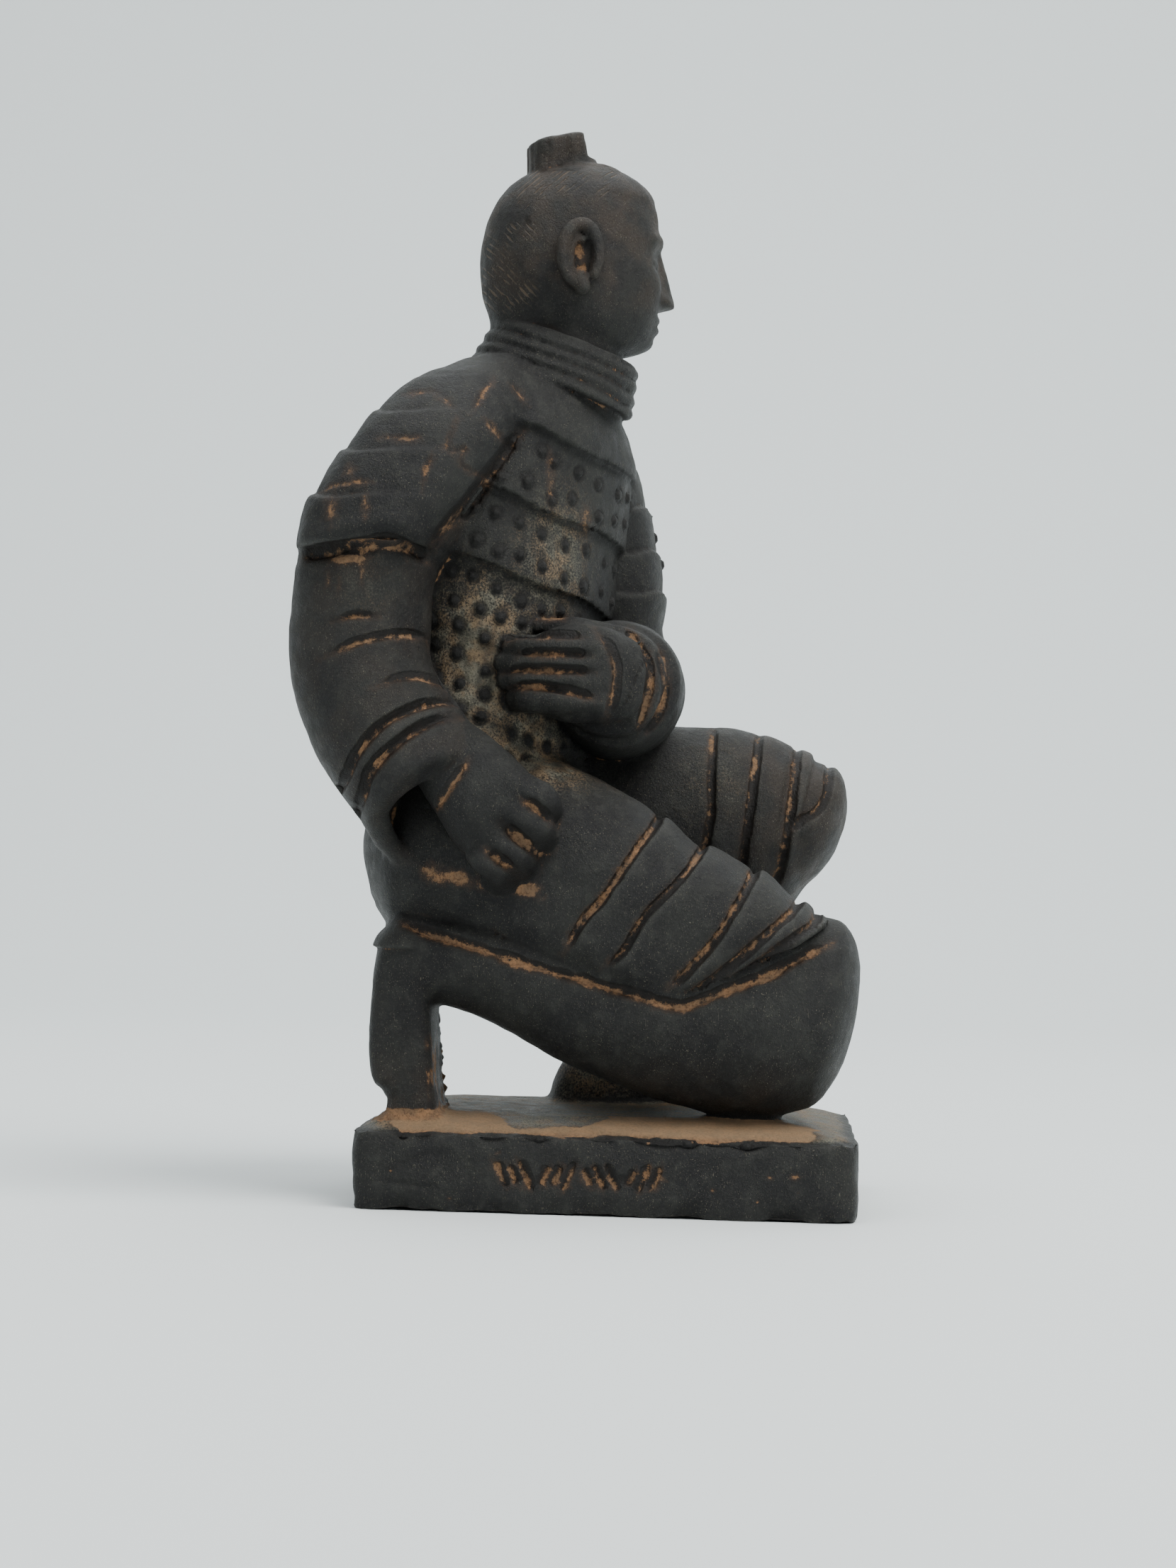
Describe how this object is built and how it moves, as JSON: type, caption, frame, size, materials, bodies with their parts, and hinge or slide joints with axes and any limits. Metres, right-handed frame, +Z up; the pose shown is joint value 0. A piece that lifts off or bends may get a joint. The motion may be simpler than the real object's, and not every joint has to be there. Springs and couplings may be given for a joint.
{
  "type": "kneeling archer figurine",
  "caption": "Small moulded terracotta figure of an armoured archer kneeling on one knee, hands at its right side, on a rectangular plinth of the same clay.",
  "frame": {"origin": "middle of the plinth's flat underside", "axes": "+Z up the figure's height; the archer faces -Y, so its right side is -X"},
  "size_m": [0.0659, 0.0838, 0.1604],
  "materials": {
    "clay": "matt burnished, dark grey"
  },
  "bodies": {
    "root": {"kneeling_archer": "clay"}
  },
  "joints": []
}
